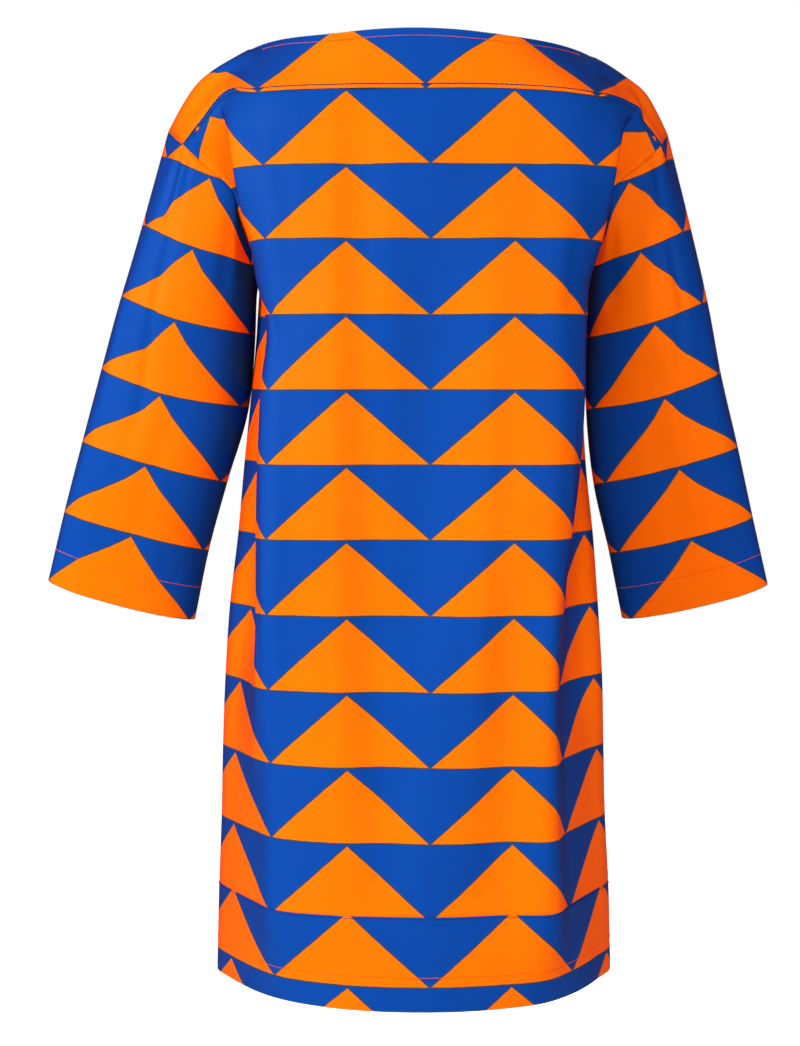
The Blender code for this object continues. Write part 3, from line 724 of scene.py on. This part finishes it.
def makeCottonWeave():
    # crossing threads with slubs, as a height and a tone
    group, start, end = newGroup(
        "cottonWeave",
        (("Plan", "NodeSocketVector", None), ("Thread Pitch", "NodeSocketFloat", 0.0005),
         ("Slub", "NodeSocketFloat", 0.5)),
        (("Height", "NodeSocketFloat"), ("Tone", "NodeSocketFloat")),
    )
    w = wires(group)
    split = w.node("ShaderNodeSeparateXYZ")
    w.join(start.outputs["Plan"], split.inputs[0])
    turn = w.math("DIVIDE", math.pi, start.outputs["Thread Pitch"])
    warp = w.math("ABSOLUTE", w.math("SINE", w.math("MULTIPLY", split.outputs["X"], turn)))
    weft = w.math("ABSOLUTE", w.math("SINE", w.math("MULTIPLY", split.outputs["Y"], turn)))
    threads = w.math("MULTIPLY", warp, weft)
    slubs = []
    for stretch in ((900.0, 60.0), (50.0, 800.0)):
        scaled = w.node("ShaderNodeVectorMath", operation="MULTIPLY")
        w.join(start.outputs["Plan"], scaled.inputs[0])
        scaled.inputs[1].default_value = (stretch[0], stretch[1], 1.0)
        noise = w.node("ShaderNodeTexNoise", noise_dimensions="2D")
        noise.inputs["Scale"].default_value = 1.0
        noise.inputs["Detail"].default_value = 2.0
        w.join(scaled.outputs[0], noise.inputs["Vector"])
        slubs.append(noise.outputs["Fac"])
    slub = w.math("SUBTRACT", w.math("ADD", slubs[0], slubs[1]), 1.0)
    slub = w.math("MULTIPLY", slub, start.outputs["Slub"])
    w.join(w.math("ADD", threads, slub), end.inputs["Height"])
    w.join(w.math("ADD", w.math("MULTIPLY", threads, 0.3), w.math("ADD", slub, 0.35)), end.inputs["Tone"])
    return group


def makeSoftMottle():
    # slow change over the cloth, for dye and press marks
    group, start, end = newGroup(
        "softMottle",
        (("Plan", "NodeSocketVector", None), ("Scale", "NodeSocketFloat", 9.0),
         ("Strength", "NodeSocketFloat", 0.2)),
        (("Tone", "NodeSocketFloat"),),
    )
    w = wires(group)
    noise = w.node("ShaderNodeTexNoise", noise_dimensions="2D")
    noise.inputs["Detail"].default_value = 4.0
    noise.inputs["Roughness"].default_value = 0.55
    w.join(start.outputs["Plan"], noise.inputs["Vector"])
    w.join(start.outputs["Scale"], noise.inputs["Scale"])
    change = w.math("MULTIPLY", w.math("SUBTRACT", noise.outputs["Fac"], 0.5), start.outputs["Strength"])
    w.join(w.math("ADD", change, 1.0), end.inputs["Tone"])
    return group


trianglePrint = makeTrianglePrint()
cottonWeave = makeCottonWeave()
softMottle = makeSoftMottle()

printedSide = {
    "orange": (1.0, 0.146, 0.0, 1.0),
    "blue": (0.002, 0.048, 0.285, 1.0),
    "paintedShadeOrange": (0.86, 0.055, 0.0, 1.0),     # painted shade: darker, redder dyes where the cloth turns away from the view
    "paintedShadeBlue": (0.004, 0.015, 0.12, 1.0),
    "roughness": 0.5,
    "sheen": 0.0,
    "specular": 0.03,
}
reverseSide = {           # the dyes show paler through the back of the cloth
    "orange": (0.90, 0.30, 0.07, 1.0),
    "blue": (0.05, 0.14, 0.40, 1.0),
    "paintedShadeOrange": (0.90, 0.30, 0.07, 1.0),
    "paintedShadeBlue": (0.05, 0.14, 0.40, 1.0),
    "roughness": 0.75,
    "sheen": 0.05,
    "specular": 0.08,
}
overlapDye = (0.02, 0.045, 0.04, 1.0)          # where orange and blue lie on each other
paintedShadeTurn = {"from": 0.28, "to": 0.85}        # how far cloth has turned from the view where the painted shade begins and where it is full
threadDyes = {"orange": (0.8, 0.09, 0.003, 1.0), "navy": (0.008, 0.018, 0.075, 1.0)}


def clothMaterial(name, look):
    material = bpy.data.materials.new(name)
    material.use_nodes = True
    w = wires(material.node_tree)
    shader = material.node_tree.nodes["Principled BSDF"]
    plan = w.node("ShaderNodeUVMap", uv_map="clothPlan").outputs["UV"]
    pattern = w.node("ShaderNodeGroup", node_tree=trianglePrint)
    weave = w.node("ShaderNodeGroup", node_tree=cottonWeave)
    mottle = w.node("ShaderNodeGroup", node_tree=softMottle)
    for group in (pattern, weave, mottle):
        w.join(plan, group.inputs["Plan"])
    mottle.inputs["Scale"].default_value = 14.0
    mottle.inputs["Strength"].default_value = 0.10
    # painted shade: Layer Weight's Facing mixes the dyes towards darker shade colours where the cloth turns
    # away from the view
    turned = w.node("ShaderNodeLayerWeight")
    turned.inputs["Blend"].default_value = 0.5
    paintedShadeMask = w.node("ShaderNodeMapRange", interpolation_type="SMOOTHSTEP")
    paintedShadeMask.inputs["From Min"].default_value = paintedShadeTurn["from"]
    paintedShadeMask.inputs["From Max"].default_value = paintedShadeTurn["to"]
    w.join(turned.outputs["Facing"], paintedShadeMask.inputs["Value"])
    nearDyes = w.mix(pattern.outputs["Orange"], look["blue"], look["orange"])
    paintedShadeDyes = w.mix(pattern.outputs["Orange"], look["paintedShadeBlue"], look["paintedShadeOrange"])
    dyesWithPaintedShade = w.mix(paintedShadeMask.outputs["Result"], nearDyes, paintedShadeDyes)
    colour = w.mix(w.math("MULTIPLY", pattern.outputs["Edge"], 0.85), dyesWithPaintedShade, overlapDye)
    woven = w.math("ADD", w.math("MULTIPLY", weave.outputs["Tone"], 0.10), 0.95)
    tone = w.math("MULTIPLY", mottle.outputs["Tone"], woven)
    dyed = w.node("ShaderNodeVectorMath", operation="SCALE")
    w.join(colour, dyed.inputs[0])
    w.join(tone, dyed.inputs["Scale"])
    w.join(dyed.outputs[0], shader.inputs["Base Color"])
    rough = w.math("ADD", w.math("MULTIPLY", mottle.outputs["Tone"], 0.2), look["roughness"] - 0.2)
    w.join(rough, shader.inputs["Roughness"])
    bump = w.node("ShaderNodeBump")
    bump.inputs["Strength"].default_value = 0.25
    bump.inputs["Distance"].default_value = 0.0002
    w.join(weave.outputs["Height"], bump.inputs["Height"])
    w.join(bump.outputs[0], shader.inputs["Normal"])
    shader.inputs["Specular IOR Level"].default_value = look["specular"]
    shader.inputs["Sheen Weight"].default_value = look["sheen"]
    shader.inputs["Sheen Roughness"].default_value = 0.4
    return material


def threadMaterial(name, colour):
    material = bpy.data.materials.new(name)
    material.use_nodes = True
    w = wires(material.node_tree)
    shader = material.node_tree.nodes["Principled BSDF"]
    place = w.node("ShaderNodeTexCoord").outputs["Object"]
    mottle = w.node("ShaderNodeGroup", node_tree=softMottle)
    w.join(place, mottle.inputs["Plan"])
    mottle.inputs["Scale"].default_value = 400.0
    mottle.inputs["Strength"].default_value = 0.5
    dyed = w.node("ShaderNodeVectorMath", operation="SCALE")
    dyed.inputs[0].default_value = colour[:3]
    w.join(mottle.outputs["Tone"], dyed.inputs["Scale"])
    w.join(dyed.outputs[0], shader.inputs["Base Color"])
    bump = w.node("ShaderNodeBump")
    bump.inputs["Strength"].default_value = 0.3
    bump.inputs["Distance"].default_value = 0.0001
    w.join(mottle.outputs["Tone"], bump.inputs["Height"])
    w.join(bump.outputs[0], shader.inputs["Normal"])
    shader.inputs["Roughness"].default_value = 0.6
    shader.inputs["Specular IOR Level"].default_value = 0.1
    return material


printedCotton = clothMaterial("printedCotton", printedSide)
cottonReverse = clothMaterial("cottonReverse", reverseSide)
orangeThread = threadMaterial("orangeThread", threadDyes["orange"])
navyThread = threadMaterial("navyThread", threadDyes["navy"])

# The body's pieces
armholeParts = [np.linspace(here, there, sampling["armhole"] + 1)[:-1]
                for here, there in zip(armholeDrops, armholeDrops[1:])]
upperRows = np.concatenate(armholeParts + [[float(drops["underarm"])]])
yokeClose = {-69.2, -68.0, -4.6, -4.0, -3.6, -2.0, -0.8}
yokeRows = np.array(sorted(set(upperRows[upperRows <= 0]) | yokeClose))
chestRows = np.array(sorted(set(upperRows[upperRows >= 0]) | {0.8, 2.0}))
lowerRows = closeRows(
    float(drops["underarm"]), float(drops["bandSeam"]), sampling["body"], (808.0, 810.0, 811.2))
bandRows = closeRows(
    float(drops["bandSeam"]), float(drops["hem"]), sampling["body"],
    (812.8, 814.0, 870.5, 872.5, 874.5, 906.0))
wholeRows = np.concatenate([chestRows, lowerRows[1:]])
frontRows = np.concatenate([yokeRows[yokeRows < 0], upperRows[upperRows >= 0], lowerRows[1:]])

noneInNeck = np.zeros(body.columns, bool)

backYokeCut = {           # from armhole to armhole, its lower edge folded up and stitched down
    "flat": (0.60, 0.105),
    "area": 0.0464,
    "neckTurn": 10,
    "proud": 0.5,         # its folded edge stands on the panel
}
backYoke = bodyPiece(
    "backYoke", "back", yokeRows,
    {"top": backYokeCut["neckTurn"], "bottom": 0, "hemAt": (body.inNeck, noneInNeck)},
    yokeCreases, "yoke", proud=backYokeCut["proud"],
)

backPanelCut = {          # from the yoke seam to the band seam, with curved armholes
    "flat": (0.60, 0.82),
    "area": 0.4766,
}
backPanel = bodyPiece("backPanel", "back", wholeRows, {"top": 0, "bottom": 0}, backCreases, "panel")

backBandCut = {
    "flat": (0.59, 0.135),
    "area": 0.0782,
    "hemTurn": 35,
}
backBand = bodyPiece(
    "backHemBand", "back", bandRows, {"top": 0, "bottom": backBandCut["hemTurn"]}, backCreases, "band",
)

frontPanelCut = {         # one piece from the neck and the shoulders to the band seam
    "flat": (0.58, 0.86),
    "area": 0.4615,
    "neckTurn": 10,
}
frontPanel = bodyPiece(
    "frontPanel", "front", frontRows,
    {"top": frontPanelCut["neckTurn"], "bottom": 0, "hemAt": (body.inNeck, noneInNeck)},
    frontCreases, "panel",
)

frontBandCut = {
    "flat": (0.58, 0.135),
    "area": 0.0779,
    "hemTurn": 35,
}
frontBand = bodyPiece(
    "frontHemBand", "front", bandRows, {"top": 0, "bottom": frontBandCut["hemTurn"]}, frontCreases, "band",
)
print("body pieces made")


# The sleeves, cut flat and closed by a seam under the arm
def sleevePiece(name, rings, edge, creases, lines, stray, facing):
    loopRows = upperRows
    down = body.rows("back", loopRows)[:, edge]
    up = body.rows("front", loopRows)[:, edge]
    # from the underarm up the front, over the tip of the shoulder and down the back
    armhole = np.concatenate([up[::-1], down[1:]])
    half = len(loopRows) - 1
    turn = np.concatenate([-np.arange(half, 0, -1), np.arange(half + 1)]) / half * math.pi
    controls = [armhole]
    for ring in rings:
        outer = np.array(ring.outer, float)
        inner = np.array(ring.inner, float)
        middle = (outer + inner) / 2
        depth = np.where(turn > 0, ring.backDepth, ring.frontDepth)
        points = middle + (outer - middle) * np.cos(turn)[:, None]
        points[:, 1] -= depth * np.sin(turn)
        if ring is rings[-1]:
            points[:, 2] -= cloth["cuffSag"] * np.abs(np.sin(turn))
        controls.append(points)
    controls = np.array(controls)
    knots = alongKnots(controls)
    ringDrops = np.array([0] + [ring.drop for ring in rings], float)
    stitchDrop = float(drops["cuff"] - cloth["cuffTurn"])
    cuffClose = (stitchDrop - 2.5, stitchDrop, stitchDrop + 2.5, drops["cuff"] - 1.0)
    places = list(np.linspace(0, 1, 22)[:-1])
    for drop in closeRows(float(drops["sleeveTop"]), float(drops["cuff"]), sampling["sleeve"], cuffClose):
        index = int(np.clip(np.searchsorted(ringDrops, drop, side="right") - 1, 1, len(rings) - 1))
        places.append(index + (drop - ringDrops[index]) / (ringDrops[index + 1] - ringDrops[index]))
    places = np.array(places)
    spans = np.clip(places.astype(int), 0, len(rings) - 1)
    grid = smoothRows(controls, knots, spans, places - spans)
    clothDown = np.interp(places, np.arange(len(ringDrops)), ringDrops)
    first = int((places < 1).sum())
    up = lengthsAlong(grid[:first + 1][::-1], 0)[::-1]
    downPlan = np.repeat(clothDown[:, None], grid.shape[1], axis=1)
    downPlan[:first + 1] = drops["sleeveTop"] - up
    top = np.argmin(np.abs(turn))
    acrossPlan = lengthsAlong(grid, 1)
    acrossPlan = acrossPlan - acrossPlan[:, top][:, None]
    plan = np.stack([acrossPlan, downPlan], axis=-1)
    normal = outward(grid, facing)
    sink = creaseDepth(plan, creases)
    lengthDown = lengthsAlong(grid, 0)
    sink = sink + cloth["seamDip"] * np.exp(-((lengthDown / cloth["dipWidth"]) ** 2))
    sink = sink * np.clip(lengthDown / 12 + 0.35, 0, 1)
    shaped = grid - normal * sink[..., None]
    # the seam allowance inside the armhole, and the turned cuff
    flaps = sideSteps * cloth["seamFlap"]
    topRows = np.stack([shaped[0] - normal[0] * depth for depth in flaps])
    topPlan = np.stack([plan[0] - np.array([0, depth]) for depth in flaps])
    backs = np.array([0.3, 1.0, 3.0, cloth["cuffTurn"] * 0.6, cloth["cuffTurn"]])
    depths = hemSteps * cloth["hemSpace"]
    cuffRows = []
    for back, depth in zip(backs, depths):
        place = np.interp(clothDown[-1] - back, clothDown, np.arange(len(clothDown)))
        low = min(int(place), len(clothDown) - 2)
        under = shaped[low] + (shaped[low + 1] - shaped[low]) * (place - low)
        cuffRows.append(under - normal[low] * depth)
    cuffRows = np.stack(cuffRows)
    cuffPlan = np.stack([plan[-1] + np.array([0, back]) for back in backs])
    whole = np.concatenate([topRows, shaped, cuffRows])
    plans = printOnSleeve(np.concatenate([topPlan, plan, cuffPlan]), lines, stray)
    normals = np.concatenate([np.repeat(normal[:1], 4, 0), normal, np.repeat(normal[-1:], 5, 0)])
    whole, plans = flapColumns(whole, normals, plans)
    piece = clothPiece(name, whole, plans, facing)
    stitchAt = int(np.argmin(np.abs(clothDown - stitchDrop)))
    return piece, (shaped[stitchAt], normal[stitchAt])


leftSleeveCut = {         # one piece, sewn into the armhole and closed under the arm
    "flat": (0.455, 0.57),
    "area": 0.1915,
}
leftSleeve, leftCuffLine = sleevePiece(
    "leftSleeve", leftRings, 0, leftSleeveCreases, leftSleeveLines, leftStray, 1,
)

rightSleeveCut = {
    "flat": (0.445, 0.565),
    "area": 0.182,
}
rightSleeve, rightCuffLine = sleevePiece(
    "rightSleeve", rightRings, -1, rightSleeveCreases, rightSleeveLines, rightStray, -1,
)
print("sleeves made")


# Stitches, each a short length of thread that dives into the cloth at its ends
threadSteps = {"pitch": 3.4, "length": 2.7, "radius": 0.36, "sides": 6}
stitchRing = namedtuple("stitchRing", "part lift girth")
stitchRings = (
    stitchRing(0.0, -0.16, 0.55), stitchRing(0.18, 0.08, 0.95), stitchRing(0.5, 0.20, 1.0),
    stitchRing(0.82, 0.08, 0.95), stitchRing(1.0, -0.16, 0.55),
)


def stitchLine(name, lines, slotName, weight):
    parts, lift, girth = np.array(stitchRings).T
    girth = girth * threadSteps["radius"] * weight
    corners, faces = [], []
    sides = threadSteps["sides"]
    for points, normals in lines:
        lengths = np.concatenate([[0], np.cumsum(np.linalg.norm(np.diff(points, axis=0), axis=-1))])
        count = int(lengths[-1] / threadSteps["pitch"])
        spare = lengths[-1] / count
        for index in range(count):
            start = (index + 0.5) * spare - threadSteps["length"] / 2
            stops = start + threadSteps["length"] * parts
            place = np.stack([np.interp(stops, lengths, points[:, axis]) for axis in range(3)], -1)
            out = np.stack([np.interp(stops, lengths, normals[:, axis]) for axis in range(3)], -1)
            out /= np.linalg.norm(out, axis=-1, keepdims=True)
            run = place[-1] - place[0]
            run /= np.linalg.norm(run)
            aside = np.cross(run, out)
            base = len(corners)
            for ring in range(5):
                for side in range(sides):
                    angle = 2 * math.pi * side / sides
                    arm = aside[ring] * math.cos(angle) + out[ring] * math.sin(angle)
                    corners.append(tuple((place[ring] + out[ring] * lift[ring] + arm * girth[ring]) * mm))
            for ring in range(4):
                for side in range(sides):
                    near = base + ring * sides
                    beside = (side + 1) % sides
                    faces.append((near + side, near + beside, near + sides + beside, near + sides + side))
            faces.append(tuple(base + side for side in range(sides))[::-1])
            faces.append(tuple(base + 4 * sides + side for side in range(sides)))
    mesh = bpy.data.meshes.new(name)
    mesh.from_pydata(corners, [], faces)
    mesh.shade_smooth()
    mesh.materials.append(threads[slotName])
    thread = bpy.data.objects.new(name, mesh)
    bpy.context.scene.collection.objects.link(thread)
    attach(thread, "root")
    return thread


def bodyLine(side, drop, creases, inNeck=False, lift=0.0):
    # a line along a piece of the body at one cloth length, on its creased surface
    facing = 1 if side == "back" else -1
    if inNeck:
        # a fixed cloth length below the neck edge, which is a share of each column's height
        heights = lengthsAlong(body.rows(side, np.linspace(drops["neck"], 0, 15)), 0)[-1]
        grid = body.rows(side, np.arange(drops["neck"], -39.0))
        picked = np.clip(-drop / heights * drops["neck"], 0, len(grid) - 1)
        low = picked.astype(int).clip(0, len(grid) - 2)
        part = (picked - low)[:, None]
        columns = np.arange(body.columns)
        points = grid[low, columns] * (1 - part) + grid[low + 1, columns] * part
        normals = outward(grid, facing)[low, columns]
        keep = slice(body.neckEnds[0] + 2, body.neckEnds[1] - 1)
        return points[keep], normals[keep]
    rows = np.array([drop - 3.0, drop, drop + 3.0])
    grid = body.rows(side, rows)
    plan = planOfBody(grid, rows)
    normal = outward(grid, facing)[1]
    sink = creaseDepth(plan, creases)[1]
    return grid[1] - normal * (sink - lift)[:, None], normal


hemDrop = drops["hem"] - backBandCut["hemTurn"]
bandDrop = drops["bandSeam"] + 2.0
threads = {"orange_thread": orangeThread, "navy_thread": navyThread}
neckLines = [bodyLine("back", backYokeCut["neckTurn"], yokeCreases, inNeck=True),
             bodyLine("front", frontPanelCut["neckTurn"], frontCreases, inNeck=True)]
yokeLine = bodyLine("back", yokeTuck["stitchDrop"], yokeCreases, lift=0.5)
for name, lines, slotName, weight in (
    ("neckStitch", neckLines, "orange_thread", 1.0),
    ("yokeStitch", [yokeLine], "navy_thread", 1.7),
    ("backBandStitch", [bodyLine("back", bandDrop, backCreases)], "navy_thread", 1.0),
    ("frontBandStitch", [bodyLine("front", bandDrop, frontCreases)], "navy_thread", 1.0),
    ("backHemStitch", [bodyLine("back", hemDrop, backCreases)], "orange_thread", 1.0),
    ("frontHemStitch", [bodyLine("front", hemDrop, frontCreases)], "orange_thread", 1.0),
    ("leftCuffStitch", [leftCuffLine], "orange_thread", 1.0),
    ("rightCuffStitch", [rightCuffLine], "orange_thread", 1.0),
):
    stitchLine(name, lines, slotName, weight)
print("stitches made")

# Each piece, listed with the CAD part it stands for, the size it was cut to and its stitches, hides that
# CAD part and is attached to the root body
for piece, node, cut, sewnOn in (
    (backYoke, "back_yoke", backYokeCut, ("yokeStitch", "neckStitch")),
    (backPanel, "back_panel", backPanelCut, ()),
    (backBand, "back_hem_band", backBandCut, ("backBandStitch", "backHemStitch")),
    (frontPanel, "front_panel", frontPanelCut, ()),
    (frontBand, "front_hem_band", frontBandCut, ("frontBandStitch", "frontHemStitch")),
    (leftSleeve, "left_sleeve", leftSleeveCut, ("leftCuffStitch",)),
    (rightSleeve, "right_sleeve", rightSleeveCut, ("rightCuffStitch",)),
):
    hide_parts(node)
    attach(piece, "root")

# Floor, light and camera
studio = {
    "floorHeight": -1.30,
    "floorSize": 60.0,
    "floorGlow": 0.75,
    "worldLight": 0.27,
    "aim": (0, 0, -0.45),
}
lamp = namedtuple("lamp", "name place size power beam")
lamps = (
    lamp("keyLight", (-2.75, -1.95, 0.6), 1.0, 23.8, 70),    # falls off towards shoulders and hem
    lamp("fillLight", (1.5, -2.9, 0.2), 1.6, 52.0, 180),
    lamp("topLight", (0.0, -0.3, 2.4), 2.0, 16.0, 180),
    lamp("backLight", (0.6, 2.8, 0.9), 1.8, 14.0, 180),
)
photoView = {             # from behind, a little above the waist
    "place": (-0.0177, -2.000, -0.3313),
    "tiltDown": 4.255,
    "lens": 66.15,
}


def makeFloor():
    size = studio["floorSize"]
    mesh = bpy.data.meshes.new("studioFloor")
    height = studio["floorHeight"]
    ends = [(-size, -size, height), (size, -size, height), (size, size, height), (-size, size, height)]
    mesh.from_pydata(ends, [], [(0, 1, 2, 3)])
    floor = bpy.data.objects.new("studioFloor", mesh)
    bpy.context.scene.collection.objects.link(floor)
    material = bpy.data.materials.new("paleFloor")
    material.use_nodes = True
    shader = material.node_tree.nodes["Principled BSDF"]
    w = wires(material.node_tree)
    noise = w.node("ShaderNodeTexNoise")
    noise.inputs["Scale"].default_value = 3.0
    tone = w.mix(noise.outputs["Fac"], (0.93, 0.93, 0.93, 1), (0.95, 0.95, 0.95, 1))
    w.join(tone, shader.inputs["Base Color"])
    shader.inputs["Roughness"].default_value = 0.9
    # seen by the camera the floor is as white as the paper behind it
    path = w.node("ShaderNodeLightPath")
    shader.inputs["Emission Color"].default_value = (1.0, 1.0, 1.0, 1.0)
    glow = w.math("MULTIPLY", path.outputs["Is Camera Ray"], studio["floorGlow"])
    w.join(glow, shader.inputs["Emission Strength"])
    mesh.materials.append(material)


def hangLamp(facts):
    light = bpy.data.lights.new(facts.name, "AREA")
    light.shape = "DISK"
    light.size = facts.size
    light.energy = facts.power
    light.spread = math.radians(facts.beam)
    holder = bpy.data.objects.new(facts.name, light)
    holder.location = facts.place
    way = np.array(studio["aim"], float) - np.array(facts.place, float)
    level = math.hypot(way[0], way[1])
    holder.rotation_euler = (math.pi / 2 + math.atan2(way[2], level), 0, math.atan2(-way[0], way[1]))
    bpy.context.scene.collection.objects.link(holder)


def makeStudio():
    scene = bpy.context.scene
    world = bpy.data.worlds.new("studioWorld")
    scene.world = world
    world.use_nodes = True
    w = wires(world.node_tree)
    background = world.node_tree.nodes["Background"]
    path = w.node("ShaderNodeLightPath")
    seen = w.math("MULTIPLY", path.outputs["Is Camera Ray"], 1.0 - studio["worldLight"])
    w.join(w.math("ADD", seen, studio["worldLight"]), background.inputs["Strength"])
    background.inputs["Color"].default_value = (1, 1, 1, 1)
    for facts in lamps:
        hangLamp(facts)
    scene.view_settings.view_transform = "Standard"


def makeCamera():
    camera = bpy.data.cameras.new("photoCamera")
    camera.sensor_width = 36.0
    camera.lens = photoView["lens"]
    camera.clip_start = 0.05
    holder = bpy.data.objects.new("photoCamera", camera)
    holder.location = photoView["place"]
    holder.rotation_euler = (math.radians(90 - photoView["tiltDown"]), 0, 0)
    bpy.context.scene.collection.objects.link(holder)
    bpy.context.scene.camera = holder


makeFloor()
makeStudio()
makeCamera()
print("studio made")
